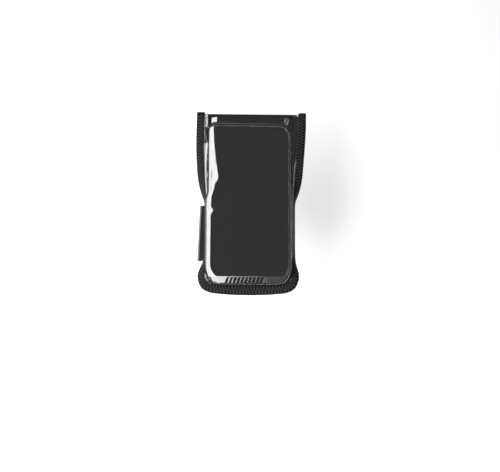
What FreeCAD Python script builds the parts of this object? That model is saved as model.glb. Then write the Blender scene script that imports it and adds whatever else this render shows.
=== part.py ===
import FreeCAD, Part
import math
import os
import Sketcher

# Soft phone pouch that lies over a bicycle's stem and handlebar.
# +X is to the rider's right, +Y forward, +Z out of the pouch's face.
# The origin is on the stem's axis, at the middle of the stem strap.

os.makedirs("parts", exist_ok=True)
doc = FreeCAD.newDocument("PhoneMount")
dims = doc.addObject("Spreadsheet::Sheet", "Dims")

VALUES = {
    # what the mount is strapped to
    "stem_radius": 17.0,
    "bar_radius": 15.9,
    "bar_forward": 45.0,
    # layers of the pouch, from the underside up
    "panel_bottom": 20.5,
    "panel_thick": 2.4,
    "board_thick": 0.9,
    "lining_thick": 1.3,
    "film_thick": 0.5,
    "window_rise": 9.2,
    # outline of the pouch inside its edge tape
    "top_half": 45.1,
    "waist_start": 75.0,
    "bar_half": 43.2,
    "bar_station": 50.0,
    "waist_half": 37.4,
    "waist_front": 26.0,
    "waist_back": -28.0,
    "foot_half": 41.1,
    "foot_back": -49.0,
    "foot_end": -54.0,
    "foot_end_half": 24.0,
    "panel_front": 110.0,
    "board_back": -46.0,
    "board_front": 104.0,
    # edge tape
    "tape_wide": 7.0,
    "tape_thick": 4.8,
    "tape_front": 113.8,
    "tape_top_in": 45.2,
    "tape_bar_in": 43.8,
    "tape_bar_fold": 12.0,
    "tape_waist_in": 39.8,
    "tape_waist_drop": 1.3,
    "tape_waist_fold": 68.0,
    "tape_foot_in": 41.2,
    "tape_foot_wide": 8.4,
    "hem_wide": 2.5,
    # window
    "window_half": 39.5,
    "window_top_half": 36.3,
    "window_back": -47.0,
    "window_lean": 2.0,
    "window_corner": 10.0,
    "window_front": 100.0,
    "mouth_half": 38.9,
    # lip of the window
    "lip_half": 38.5,
    "lip_gap": 0.3,
    "lip_flat": 25.9,
    "lip_slope": 2.7,
    "lip_shelf": 0.7,
    "lip_front": 110.0,
    "lip_hem_back": 108.8,
    "lip_hem_front": 111.4,
    "lip_hem_wall": 0.45,
    # hook and loop
    "loop_thick": 0.8,
    "hook_thick": 0.6,
    "closing_gap": 0.3,
    "strip_back": 103.9,
    "strip_front": 108.7,
    "strip_half": 30.0,
    # stem strap
    "strap_wide": 54.0,
    "strap_thick": 1.6,
    "strap_lean": 35.6,
    "strap_top": 35.0,
    "anchor_inner": 18.0,
    "anchor_outer": 34.5,
    "anchor_thick": 1.5,
    "pad_half": 14.0,
    "pad_angle": 45.0,
    "wing_offset": 13.7,
    "wing_thick": 1.4,
    "wing_low": 12.0,
    "tail_bend": 26.0,
    "tail_end_x": 50.0,
    "tail_end_up": 12.4,
    "patch_low": 14.0,
    "patch_high": 25.0,
    # handlebar straps
    "band_x": 31.0,
    "band_wide": 14.0,
    "band_thick": 1.4,
    "bar_pad_half": 11.0,
    "bar_pad_angle": 42.0,
    "band_foot": 33.5,
    "band_split": 2.0,
    "band_tail_front": 88.0,
    "band_tail_top": 19.0,
    "band_patch_back": 64.0,
    "band_patch_front": 86.5,
}

for row, (alias, number) in enumerate(VALUES.items(), start=1):
    dims.set(f"A{row}", alias)
    dims.set(f"B{row}", str(number))
    dims.setAlias(f"B{row}", alias)
doc.recompute()


class Size:
    """A number kept together with the spreadsheet formula that gives it."""

    def __init__(self, value, formula):
        self.value = value
        self.formula = formula

    def __add__(self, other):
        other = as_size(other)
        return Size(self.value + other.value, f"({self.formula} + {other.formula})")

    def __sub__(self, other):
        other = as_size(other)
        return Size(self.value - other.value, f"({self.formula} - {other.formula})")

    def __mul__(self, other):
        other = as_size(other)
        return Size(self.value * other.value, f"({self.formula} * {other.formula})")

    def __truediv__(self, other):
        other = as_size(other)
        return Size(self.value / other.value, f"({self.formula} / {other.formula})")

    def __neg__(self):
        return Size(-self.value, f"(-1 * {self.formula})")


def as_size(number):
    """A plain number as a Size; a Size as it is."""
    if isinstance(number, Size):
        return number
    return Size(float(number), str(float(number)))


def size(alias):
    """The named dimension from the spreadsheet."""
    return Size(VALUES[alias], f"Dims.{alias}")


def sine(angle):
    return Size(math.sin(math.radians(angle.value)), f"sin({angle.formula})")


def cosine(angle):
    return Size(math.cos(math.radians(angle.value)), f"cos({angle.formula})")


def new_body(label):
    body = doc.addObject("PartDesign::Body", label)
    body.Label = label
    return body


def origin_plane(body, role):
    return [f for f in body.Origin.OriginFeatures if f.Role == role][0]


def line(corner):
    """A corner that a straight side leaves from."""
    return (corner[0], corner[1], None)


def arc(corner, centre, radius, turn):
    """A corner that an arc leaves from. turn is 1 for anticlockwise, -1 for clockwise."""
    return (corner[0], corner[1], (centre, radius, turn))


def angle_of(centre, point):
    return math.atan2(point.y - centre.y, point.x - centre.x)


def add_side(sketch, start, end, bend):
    """One side of an outline. Returns its index and which of its ends comes first."""
    if bend is None:
        return sketch.addGeometry(Part.LineSegment(start, end), False), 1
    centre = FreeCAD.Vector(as_size(bend[0][0]).value, as_size(bend[0][1]).value, 0)
    circle = Part.Circle(centre, FreeCAD.Vector(0, 0, 1), bend[1].value)
    first, last = (start, end) if bend[2] > 0 else (end, start)
    curve = Part.ArcOfCircle(circle, angle_of(centre, first), angle_of(centre, last))
    return sketch.addGeometry(curve, False), 1 if bend[2] > 0 else 2


def bind(sketch, constraint, name, amount):
    """Adds a dimension to a sketch and ties it to the spreadsheet."""
    index = sketch.addConstraint(constraint)
    sketch.renameConstraint(index, name)
    sketch.setExpression(f"Constraints.{name}", amount.formula)


def outline(body, name, role, corners, offset):
    """A closed sketch through the corners, on an origin plane moved along its normal."""
    sketch = body.newObject("Sketcher::SketchObject", name)
    sketch.AttachmentSupport = [(origin_plane(body, role), "")]
    sketch.MapMode = "FlatFace"
    sketch.setExpression(".AttachmentOffset.Base.z", as_size(offset).formula)
    places = [(as_size(c[0]), as_size(c[1])) for c in corners]
    points = [FreeCAD.Vector(p[0].value, p[1].value, 0) for p in places]
    count = len(corners)
    sides = [
        add_side(sketch, points[i], points[(i + 1) % count], corners[i][2])
        for i in range(count)
    ]
    for i, (side, first) in enumerate(sides):
        before, before_first = sides[i - 1]
        sketch.addConstraint(
            Sketcher.Constraint("Coincident", before, 3 - before_first, side, first)
        )
        across = Sketcher.Constraint("DistanceX", -1, 1, side, first, points[i].x)
        along = Sketcher.Constraint("DistanceY", -1, 1, side, first, points[i].y)
        bind(sketch, across, f"x{i}", places[i][0])
        bind(sketch, along, f"y{i}", places[i][1])
        if corners[i][2] is not None:
            radius = corners[i][2][1]
            bend = Sketcher.Constraint("Radius", side, radius.value)
            bind(sketch, bend, f"r{i}", radius)
    return sketch


def pad(body, sketch, length, both_ways=False):
    feature = body.newObject("PartDesign::Pad", "Pad")
    feature.Profile = sketch
    feature.setExpression("Length", as_size(length).formula)
    if both_ways:
        feature.SideType = "Symmetric"
    sketch.Visibility = False
    return feature


def loft(body, kind, sketches):
    feature = body.newObject(kind, "Loft")
    feature.Profile = sketches[0]
    feature.Sections = sketches[1:]
    feature.Ruled = True
    return feature


def plate(label, corners, bottom, thickness):
    """A flat piece with an outline seen from above."""
    body = new_body(label)
    sketch = outline(body, f"{label}_plan", "XY_Plane", corners, bottom)
    pad(body, sketch, thickness)
    return body


def across_stem(label, corners):
    """A piece with one section all along the stem strap's width."""
    body = new_body(label)
    sketch = outline(body, f"{label}_section", "XZ_Plane", corners, 0)
    pad(body, sketch, size("strap_wide"), both_ways=True)
    return body


def across_bar(label, corners, middle, width):
    """A piece with one section along X, centred on middle."""
    body = new_body(label)
    sketch = outline(body, f"{label}_section", "YZ_Plane", corners, middle)
    pad(body, sketch, width, both_ways=True)
    return body


def rectangle(low_x, high_x, low_y, high_y):
    corners = [(low_x, low_y), (high_x, low_y), (high_x, high_y), (low_x, high_y)]
    return [line(corner) for corner in corners]


def mirrored(right_side):
    """Right-hand corners from front to back, closed by the same corners on the left."""
    left_side = [(-as_size(x), y) for x, y in reversed(right_side)]
    return [line(corner) for corner in right_side + left_side]


# heights of the layers
panel_top = size("panel_bottom") + size("panel_thick")
lining_top = panel_top + size("lining_thick")
flange_top = lining_top + size("film_thick")
window_top = lining_top + size("window_rise")
tape_middle = size("panel_bottom") + 2.2
tape_bottom = tape_middle - size("tape_thick") / 2


def pouch_side(waist):
    """The right edge of a layer, with the given half width at the waist."""
    return [
        (size("top_half"), size("panel_front")),
        (size("top_half"), size("waist_start")),
        (size("bar_half"), size("bar_station")),
        (waist, size("waist_front")),
        (waist, size("waist_back")),
        (size("foot_half"), size("foot_back")),
        (size("foot_end_half"), size("foot_end")),
    ]


# ---- layers of the pouch ----

plate("back_panel", mirrored(pouch_side(size("waist_half"))),
      size("panel_bottom"), size("panel_thick"))

board_half = size("waist_half") - 0.4
board_plan = rectangle(-board_half, board_half, size("board_back"), size("board_front"))
plate("back_board", board_plan, panel_top, size("board_thick"))

lining = plate("pocket_lining", mirrored(pouch_side(size("waist_half") + 1.8)),
               panel_top, size("lining_thick"))
recess = outline(lining, "board_recess", "XY_Plane", board_plan, panel_top)
room = lining.newObject("PartDesign::Pocket", "BoardRecess")
room.Profile = recess
room.Reversed = True
room.setExpression("Length", size("board_thick").formula)


def window_plan(half, back, front, corner):
    """The window's outline, square at the mouth and rounded at the foot."""
    return [
        line((half, front)),
        line((-half, front)),
        arc((-half, back + corner), (-(half - corner), back + corner), corner, 1),
        line((-(half - corner), back)),
        arc((half - corner, back), (half - corner, back + corner), corner, 1),
        line((half, back + corner)),
    ]


film = new_body("window_film")
flange_side = pouch_side(size("waist_half") + 1.8)
mouth_notch = [
    (-size("mouth_half"), size("panel_front")),
    (-size("mouth_half"), size("window_front") - 0.1),
    (size("mouth_half"), size("window_front") - 0.1),
    (size("mouth_half"), size("panel_front")),
]
flange_plan = mirrored(flange_side) + [line(corner) for corner in mouth_notch]
pad(film, outline(film, "flange_plan", "XY_Plane", flange_plan, lining_top),
    size("film_thick"))
foot = size("window_back")
wall = size("film_thick")
corner = size("window_corner")
raised = [
    outline(film, "raised_base", "XY_Plane",
            window_plan(size("window_half"), foot, size("window_front"), corner), lining_top),
    outline(film, "raised_top", "XY_Plane",
            window_plan(size("window_top_half"), foot + size("window_lean"),
                        size("window_front"), corner), window_top),
]
loft(film, "PartDesign::AdditiveLoft", raised)
hollow = [
    outline(film, "hollow_base", "XY_Plane",
            window_plan(size("window_half") - wall, foot + wall,
                        size("window_front") + 1, corner), lining_top),
    outline(film, "hollow_top", "XY_Plane",
            window_plan(size("window_top_half") - wall, foot + size("window_lean") + wall,
                        size("window_front") + 1, corner), window_top - wall),
]
loft(film, "PartDesign::SubtractiveLoft", hollow)


# ---- edge tape round three sides ----

def tape_section(body, name, hand, forward, inner_x, inner_z, fold):
    """A section of the tape, its outer edge folded down by the given angle."""
    out_x = size("tape_wide") * cosine(fold)
    out_z = size("tape_wide") * sine(fold)
    thick_x = size("tape_thick") / 2 * sine(fold)
    thick_z = size("tape_thick") / 2 * cosine(fold)
    corners = [
        (inner_x + thick_x, inner_z + thick_z),
        (inner_x - thick_x, inner_z - thick_z),
        (inner_x - thick_x + out_x, inner_z - thick_z - out_z),
        (inner_x + thick_x + out_x, inner_z + thick_z - out_z),
    ]
    sided = [line((x * hand, z)) for x, z in corners]
    return outline(body, name, "XZ_Plane", sided, -forward)


tape = new_body("edge_binding")
foot_out = size("tape_foot_in") + size("tape_wide")
foot_back = size("foot_back")
foot_drop = size("foot_end") - size("tape_foot_wide")
outer_right = [
    (foot_out, foot_back),
    (foot_out - 0.8, foot_back - 5.5),
    (foot_out - 5.5, foot_back - 9.0),
    (size("foot_end_half"), foot_drop),
]
inner_right = [
    (size("tape_foot_in"), foot_back),
    (size("foot_end_half"), size("foot_end") - 0.1),
]
outer_left = [(-x, y) for x, y in reversed(outer_right)]
inner_left = [(-x, y) for x, y in reversed(inner_right)]
foot_plan = outer_right + outer_left + inner_left[::-1] + inner_right[::-1]
pad(tape, outline(tape, "foot_plan", "XY_Plane", [line(c) for c in foot_plan], tape_bottom),
    size("tape_thick"))
flat = as_size(0)
for side_name, hand in (("right", 1), ("left", -1)):
    waist_z = tape_middle - size("tape_waist_drop")
    stations = [
        ("front", size("tape_front"), size("tape_top_in"), tape_middle, flat),
        ("shoulder", size("waist_start"), size("tape_top_in"), tape_middle, flat),
        ("bar", size("bar_station"), size("tape_bar_in"), tape_middle - 0.1,
         size("tape_bar_fold")),
        ("waist_front", size("waist_front"), size("tape_waist_in"), waist_z,
         size("tape_waist_fold")),
        ("waist_back", size("waist_back"), size("tape_waist_in"), waist_z,
         size("tape_waist_fold")),
        ("foot", foot_back, size("tape_foot_in"), tape_middle, flat),
    ]
    sections = [
        tape_section(tape, f"{side_name}_{name}", hand, forward, inner_x, inner_z, fold)
        for name, forward, inner_x, inner_z, fold in stations
    ]
    loft(tape, "PartDesign::AdditiveLoft", sections)

hem_front = size("panel_front") + 0.1 + size("hem_wide")
plate("mouth_hem",
      rectangle(-size("top_half"), size("top_half"), size("panel_front") + 0.1, hem_front),
      tape_bottom, lining_top + 0.2 - tape_bottom)


# ---- lip that closes the window at the mouth ----

lip_start = size("window_front") + size("lip_gap")
lip_low = size("lip_flat")
lip_high = lip_low + wall
slope_top = lip_start + size("lip_shelf")
slope_foot = slope_top + size("lip_slope")
lip_corners = [
    (lip_start, window_top),
    (slope_top, window_top),
    (slope_foot, lip_high),
    (size("lip_front"), lip_high),
    (size("lip_front"), lip_low),
    (slope_foot - 0.35, lip_low),
    (slope_top - 0.35, window_top - wall),
    (lip_start, window_top - wall),
]
lip_wide = size("lip_half") * 2
across_bar("window_lip", [line(c) for c in lip_corners], 0, lip_wide)

hem_wall = size("lip_hem_wall")
lip_hem_corners = [
    (size("lip_hem_back"), lip_high),
    (size("lip_hem_back"), lip_high + hem_wall),
    (size("lip_hem_front"), lip_high + hem_wall),
    (size("lip_hem_front"), lip_low - hem_wall),
    (size("lip_hem_back") + 0.2, lip_low - hem_wall),
    (size("lip_hem_back") + 0.2, lip_low),
    (size("lip_front"), lip_low),
    (size("lip_front"), lip_high),
]
across_bar("window_hem", [line(c) for c in lip_hem_corners], 0, lip_wide)

strip_plan = rectangle(-size("strip_half"), size("strip_half"),
                       size("strip_back"), size("strip_front"))
plate("mouth_loop_strip", strip_plan, lining_top, size("loop_thick"))
plate("mouth_hook_strip", strip_plan, lip_low - size("hook_thick"), size("hook_thick"))


# ---- stem strap ----

lean = size("strap_lean")
origin = (0, 0)


def beside_strap(offset, rise, hand):
    """A point at a distance from the stem's axis, up along the strap's straight run."""
    x = cosine(lean) * offset + sine(lean) * rise
    z = cosine(lean) * rise - sine(lean) * offset
    return (x * hand, z)


inner_face = size("stem_radius")
outer_face = inner_face + size("strap_thick")

pad_foot = inner_face * sine(size("pad_angle"))
pad_drop = inner_face * cosine(size("pad_angle"))
across_stem("stem_pad", [
    line((size("pad_half"), size("panel_bottom"))),
    line((-size("pad_half"), size("panel_bottom"))),
    line((-size("pad_half"), pad_drop)),
    arc((-pad_foot, pad_drop), origin, inner_face, -1),
    line((pad_foot, pad_drop)),
    line((size("pad_half"), pad_drop)),
])

anchor_low = size("panel_bottom") - size("anchor_thick")
across_stem("stem_strap_anchor",
            rectangle(size("anchor_inner"), size("anchor_outer"),
                      anchor_low, size("panel_bottom")))

run_up = size("strap_top")
none = as_size(0)
joint_gap = as_size(0.3)
across_stem("stem_strap_belly", [
    arc(beside_strap(inner_face, none, -1), origin, inner_face, 1),
    line(beside_strap(inner_face, none, 1)),
    line(beside_strap(inner_face, run_up, 1)),
    line(beside_strap(outer_face, run_up, 1)),
    arc(beside_strap(outer_face, none, 1), origin, outer_face, -1),
    line(beside_strap(outer_face, none, -1)),
])

bend = size("tail_bend")
tail_x = -size("tail_end_x")
tail_z = size("tail_end_up")
across_stem("stem_strap_tail", [
    line(beside_strap(inner_face, joint_gap, -1)),
    line(beside_strap(outer_face, joint_gap, -1)),
    line(beside_strap(outer_face, bend - 0.5, -1)),
    line((tail_x, tail_z - size("strap_thick") / 2)),
    line((tail_x, tail_z + size("strap_thick") / 2)),
    line(beside_strap(inner_face, bend + 0.5, -1)),
])

hook_face = inner_face - size("hook_thick")
loop_face = hook_face - size("closing_gap")
wing_face = size("wing_offset") + size("wing_thick")
across_stem("stem_strap_hook", [
    line(beside_strap(hook_face, size("patch_low"), -1)),
    line(beside_strap(inner_face, size("patch_low"), -1)),
    line(beside_strap(inner_face, size("patch_high"), -1)),
    line(beside_strap(hook_face, size("patch_high"), -1)),
])
across_stem("stem_wing_loop", [
    line(beside_strap(wing_face, size("patch_low") - 1, -1)),
    line(beside_strap(loop_face, size("patch_low") - 1, -1)),
    line(beside_strap(loop_face, size("patch_high") + 5, -1)),
    line(beside_strap(wing_face, size("patch_high") + 5, -1)),
])


def rise_at(offset, height):
    """How far up the strap's straight run a given height is."""
    return (height + sine(lean) * offset) / cosine(lean)


wing_inner = size("wing_offset")
across_stem("stem_wing", [
    line((-size("anchor_inner"), size("panel_bottom"))),
    line(beside_strap(wing_face, rise_at(wing_face, size("panel_bottom")), -1)),
    line(beside_strap(wing_face, size("wing_low"), -1)),
    line(beside_strap(wing_inner, size("wing_low"), -1)),
    line(beside_strap(wing_inner, rise_at(wing_inner, anchor_low), -1)),
    line((-size("anchor_inner"), anchor_low)),
])


# ---- handlebar straps ----

bar_centre = (size("bar_forward"), as_size(0))
band_in = size("bar_radius")
band_out = band_in + size("band_thick")


def round_bar(radius, angle):
    """A point round the handlebar. Angle 0 is forward and 90 is up."""
    return (size("bar_forward") + radius * cosine(angle), radius * sine(angle))


quarter = as_size(90)
front_end = -(quarter - size("band_split"))
back_end = -(quarter + size("band_split"))
band_floor = size("panel_bottom") - size("band_thick")
pad_right_angle = quarter - size("bar_pad_angle")
pad_left_angle = quarter + size("bar_pad_angle")
saddle_drop = band_in * cosine(size("bar_pad_angle"))
tail_low = size("band_tail_top") - size("band_thick")

bar_pad_corners = [
    line((size("bar_forward") + size("bar_pad_half"), size("panel_bottom"))),
    line((size("bar_forward") - size("bar_pad_half"), size("panel_bottom"))),
    line((size("bar_forward") - size("bar_pad_half"), saddle_drop)),
    arc(round_bar(band_in, pad_left_angle), bar_centre, band_in, -1),
    line(round_bar(band_in, pad_right_angle)),
    line((size("bar_forward") + size("bar_pad_half"), saddle_drop)),
]
band_corners = [
    line((size("band_foot"), size("panel_bottom"))),
    line((size("bar_forward") - band_out, size("panel_bottom"))),
    arc((size("bar_forward") - band_out, 0), bar_centre, band_out, 1),
    line(round_bar(band_out, back_end)),
    arc(round_bar(band_in, back_end), bar_centre, band_in, -1),
    line((size("bar_forward") - band_in, 0)),
    line((size("bar_forward") - band_in, band_floor)),
    line((size("band_foot"), band_floor)),
]
band_tail_corners = [
    arc(round_bar(band_in, front_end), bar_centre, band_in, 1),
    line((size("bar_forward") + band_in, 0)),
    line((size("bar_forward") + band_in, size("band_tail_top"))),
    line((size("band_tail_front"), size("band_tail_top"))),
    line((size("band_tail_front"), tail_low)),
    line((size("bar_forward") + band_out, tail_low)),
    arc((size("bar_forward") + band_out, 0), bar_centre, band_out, -1),
    line(round_bar(band_out, front_end)),
]
band_hook_corners = rectangle(
    size("band_patch_back"), size("band_patch_front"),
    size("band_tail_top"), size("band_tail_top") + size("hook_thick"))
loop_low = size("band_tail_top") + size("hook_thick") + size("closing_gap")
band_loop_corners = rectangle(
    size("band_patch_back") - 1, size("band_patch_front") + 2,
    loop_low, size("panel_bottom"))

for side_name, hand in (("right", 1), ("left", -1)):
    middle = size("band_x") * hand
    width = size("band_wide")
    across_bar(f"bar_pad_{side_name}", bar_pad_corners, middle, width)
    across_bar(f"bar_band_{side_name}", band_corners, middle, width)
    across_bar(f"bar_loop_{side_name}", band_loop_corners, middle, width)
    across_bar(f"bar_tail_{side_name}", band_tail_corners, middle, width)
    across_bar(f"bar_hook_{side_name}", band_hook_corners, middle, width)


# ---- check and write ----

doc.recompute()
for item in doc.Objects:
    if "Invalid" in item.State or "Error" in item.State:
        raise RuntimeError(f"{item.Label} did not build")
for body in doc.findObjects("PartDesign::Body"):
    if body.Shape.isNull() or not body.Shape.isValid():
        raise RuntimeError(f"{body.Label} has no sound shape")
    if len(body.Shape.Solids) != 1:
        raise RuntimeError(f"{body.Label} has {len(body.Shape.Solids)} solids")
    body.Shape.exportStep(f"parts/{body.Label}.step")
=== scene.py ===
import math
from bisect import bisect_right
from collections import namedtuple
import bpy
from mathutils import Matrix, Vector


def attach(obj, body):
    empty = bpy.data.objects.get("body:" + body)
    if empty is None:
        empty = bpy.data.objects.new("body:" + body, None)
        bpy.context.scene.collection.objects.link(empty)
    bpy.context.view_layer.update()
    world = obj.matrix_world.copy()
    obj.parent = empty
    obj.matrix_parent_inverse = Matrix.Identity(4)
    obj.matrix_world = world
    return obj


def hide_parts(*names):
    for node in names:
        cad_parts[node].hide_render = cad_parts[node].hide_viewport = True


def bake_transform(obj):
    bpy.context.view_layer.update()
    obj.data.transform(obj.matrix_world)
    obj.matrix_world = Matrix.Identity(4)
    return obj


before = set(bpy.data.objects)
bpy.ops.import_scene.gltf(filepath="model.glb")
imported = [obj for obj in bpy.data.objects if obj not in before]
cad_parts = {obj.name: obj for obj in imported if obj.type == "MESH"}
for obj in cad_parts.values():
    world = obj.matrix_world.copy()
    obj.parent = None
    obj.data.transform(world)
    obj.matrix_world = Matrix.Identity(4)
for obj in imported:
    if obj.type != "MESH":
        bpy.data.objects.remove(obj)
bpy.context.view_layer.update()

MM = 0.001

# ---------------------------------------------------------------- sizes, in millimetres

TAPE_WIDE = 7.0
TAPE_FOOT_EXTRA = 1.4
LEFT_TAPE_EXTRA = 0.9
STITCH_PITCH = 3.0
THREAD_RADIUS = 0.32

WINDOW_TOP = 33.3
FLANGE_TOP = 24.6
LINING_TOP = 24.1
LINING_LOW = 23.4
SHELL_TOP = 23.3
SHELL_LOW = 20.6
FILM_THICK = 0.35

MOUTH_Y = 111.6
LIP_SPLIT_Y = 97.0
LIP_EDGE_RADIUS = 0.5

# The pouch's right edge from the mouth to the middle of its foot. Each row is the tape's
# inner edge (x, y, z), how far the tape is folded down in degrees, and the point (x, y)
# where the flat margin of the window begins.
EDGE = [
    (45.2, 113.9, 22.9, 0.0, 41.0, 113.9),
    (45.2, 108.0, 22.8, 0.0, 41.0, 108.0),
    (45.3, 102.0, 22.8, 0.0, 41.0, 102.0),
    (45.3, 97.0, 22.8, 0.0, 41.0, 97.0),
    (45.3, 88.0, 22.7, 0.0, 41.0, 88.0),
    (45.0, 76.0, 22.6, 0.0, 40.9, 76.0),
    (44.2, 62.0, 22.5, 4.0, 40.8, 62.0),
    (43.1, 49.0, 22.3, 13.0, 40.7, 49.0),
    (41.2, 37.0, 21.9, 38.0, 40.6, 37.0),
    (39.9, 27.0, 21.4, 64.0, 40.4, 27.0),
    (39.8, 13.0, 21.3, 68.0, 40.3, 13.0),
    (39.8, -1.0, 21.3, 68.0, 40.3, -1.0),
    (39.8, -15.0, 21.3, 68.0, 40.3, -15.0),
    (39.9, -28.0, 21.4, 62.0, 40.2, -28.0),
    (40.5, -37.0, 21.9, 36.0, 40.2, -37.0),
    (41.1, -43.0, 22.5, 9.0, 39.9, -43.0),
    (40.5, -47.0, 22.7, 0.0, 39.0, -46.7),
    (38.0, -49.9, 22.7, 0.0, 36.7, -49.0),
    (32.8, -51.8, 22.7, 0.0, 32.1, -50.8),
    (22.0, -52.9, 22.7, 0.0, 21.6, -51.8),
    (11.0, -53.4, 22.7, 0.0, 11.0, -52.3),
    (0.0, -53.6, 22.7, 0.0, 0.0, -52.5),
]
CORNER_ROW = 16
STEPS_PER_ROW = 9

# What is added to the rows: how far the mouth and the foot lean towards +X, how far the
# mouth spreads, and how much nearer the tape the left margin begins.
MOUTH_LEAN = 1.2
MOUTH_SPREAD = 0.6
FOOT_LEAN = -1.4
LEFT_MARGIN_SHIFT = 0.9


# ---------------------------------------------------------------- small tools

def clamp(value, low=0.0, high=1.0):
    return max(low, min(high, value))


def mix(a, b, t):
    return a + (b - a) * t


def smooth(value, start, end):
    """0 before start, 1 after end, eased between them. end may be below start."""
    t = clamp((value - start) / (end - start))
    return t * t * (3.0 - 2.0 * t)


def along_table(table, key):
    """Value at key in a table of (key, value) rows with rising keys, eased between rows."""
    if key <= table[0][0]:
        return table[0][1]
    for (k0, v0), (k1, v1) in zip(table, table[1:]):
        if key <= k1:
            return mix(v0, v1, smooth(key, k0, k1))
    return table[-1][1]


def spline(rows, steps):
    """Points on a Catmull-Rom curve through the rows, steps to a span."""
    out = []
    last = len(rows) - 1
    for i in range(last):
        before, a, b, after = rows[max(i - 1, 0)], rows[i], rows[i + 1], rows[min(i + 2, last)]
        for step in range(steps):
            t = step / steps
            out.append(tuple(
                0.5 * (2 * q + (r - p) * t + (2 * p - 5 * q + 4 * r - s) * t * t
                       + (3 * q - p - 3 * r + s) * t ** 3)
                for p, q, r, s in zip(before, a, b, after)))
    out.append(tuple(rows[-1]))
    return out


def wander(x, y, seed):
    """A slow, repeatable unevenness between about -1 and 1."""
    total = 0.0
    for k in range(1, 4):
        total += math.sin(x * 0.061 * k + seed * 1.7 * k + 0.8 * math.sin(y * 0.043 * k + seed))
        total += math.sin(y * 0.053 * k - seed * 2.3 * k + 0.9 * math.sin(x * 0.071 * k - seed))
    return total / 6.0


def make_object(name, points, faces):
    """A mesh object from points in millimetres."""
    mesh = bpy.data.meshes.new(name)
    mesh.from_pydata([tuple(c * MM for c in p) for p in points], [], faces)
    mesh.validate()
    mesh.update()
    mesh.polygons.foreach_set("use_smooth", [True] * len(mesh.polygons))
    mesh.set_sharp_from_angle(angle=math.radians(55))
    obj = bpy.data.objects.new(name, mesh)
    bpy.context.scene.collection.objects.link(obj)
    return obj


def grid_faces(rows, columns, start=0, round_rows=False, round_columns=False, flip=False):
    """Squares between neighbouring points, which a round direction joins end to end."""
    faces = []
    for i in range(rows if round_rows else rows - 1):
        for j in range(columns if round_columns else columns - 1):
            a = start + i * columns + j
            b = start + i * columns + (j + 1) % columns
            c = start + ((i + 1) % rows) * columns + (j + 1) % columns
            d = start + ((i + 1) % rows) * columns + j
            faces.append((a, d, c, b) if flip else (a, b, c, d))
    return faces


def grid(rows, columns, point):
    """Rows of points, where point(i, j) is i steps along and j steps across."""
    return [[point(i, j) for j in range(columns + 1)] for i in range(rows + 1)]


def slab(name, top, low):
    """A closed sheet between two grids of points with the same rows and columns."""
    rows, columns = len(top), len(top[0])
    points = [p for row in top for p in row] + [p for row in low for p in row]
    half = rows * columns
    faces = grid_faces(rows, columns) + grid_faces(rows, columns, start=half, flip=True)
    rim = list(range(columns))
    rim += [i * columns + columns - 1 for i in range(1, rows)]
    rim += [(rows - 1) * columns + j for j in range(columns - 2, -1, -1)]
    rim += [i * columns for i in range(rows - 2, 0, -1)]
    for a, b in zip(rim, rim[1:] + rim[:1]):
        faces.append((b, a, a + half, b + half))
    return make_object(name, points, faces)


def lofted(name, sections, closed_path=False):
    """A closed body through rings of points, with its ends capped."""
    count = len(sections[0])
    points = [p for ring in sections for p in ring]
    faces = grid_faces(len(sections), count, round_rows=closed_path, round_columns=True)
    if not closed_path:
        faces.append(tuple(range(count - 1, -1, -1)))
        last = (len(sections) - 1) * count
        faces.append(tuple(last + k for k in range(count)))
    return make_object(name, points, faces)


def tube_rings(points, radius, sides):
    """Rings of points round a line of points."""
    line = [Vector(p) for p in points]
    rings = []
    side = None
    for i, point in enumerate(line):
        ahead = (line[min(i + 1, len(line) - 1)] - line[max(i - 1, 0)]).normalized()
        if side is None:
            side = ahead.orthogonal().normalized()
        side = (side - ahead * side.dot(ahead)).normalized()
        other = ahead.cross(side)
        rings.append([
            point + (side * math.cos(a) + other * math.sin(a)) * radius
            for a in (2 * math.pi * k / sides for k in range(sides))])
    return rings


def threads(name, lines, radius, sides=5):
    """Many short threads in one mesh."""
    points, faces = [], []
    for line in lines:
        rings = tube_rings(line, radius, sides)
        start = len(points)
        points += [tuple(p) for ring in rings for p in ring]
        faces += grid_faces(len(rings), sides, start=start, round_columns=True)
        faces.append(tuple(start + k for k in range(sides - 1, -1, -1)))
        last = start + (len(rings) - 1) * sides
        faces.append(tuple(last + k for k in range(sides)))
    return make_object(name, points, faces)


def dress(obj, material, nodes):
    """Gives a piece its material and hides the CAD nodes that it replaces."""
    obj.data.materials.clear()
    obj.data.materials.append(material)
    if nodes:
        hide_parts(*nodes)


def finish_piece(obj, body, material, slot, *nodes):
    """A piece that moves with one body."""
    dress(obj, material, nodes)
    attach(obj, body)


def finish_bridge(obj, material, slot, nodes, first, second, start, end):
    """A piece of fabric that crosses the joint between two bodies: it gets its material, its CAD nodes
    are hidden and its place is baked into its points.
    """
    dress(obj, material, nodes)
    tuple(c * MM for c in start)
    tuple(c * MM for c in end)
    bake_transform(obj)


# ---------------------------------------------------------------- materials

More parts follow.
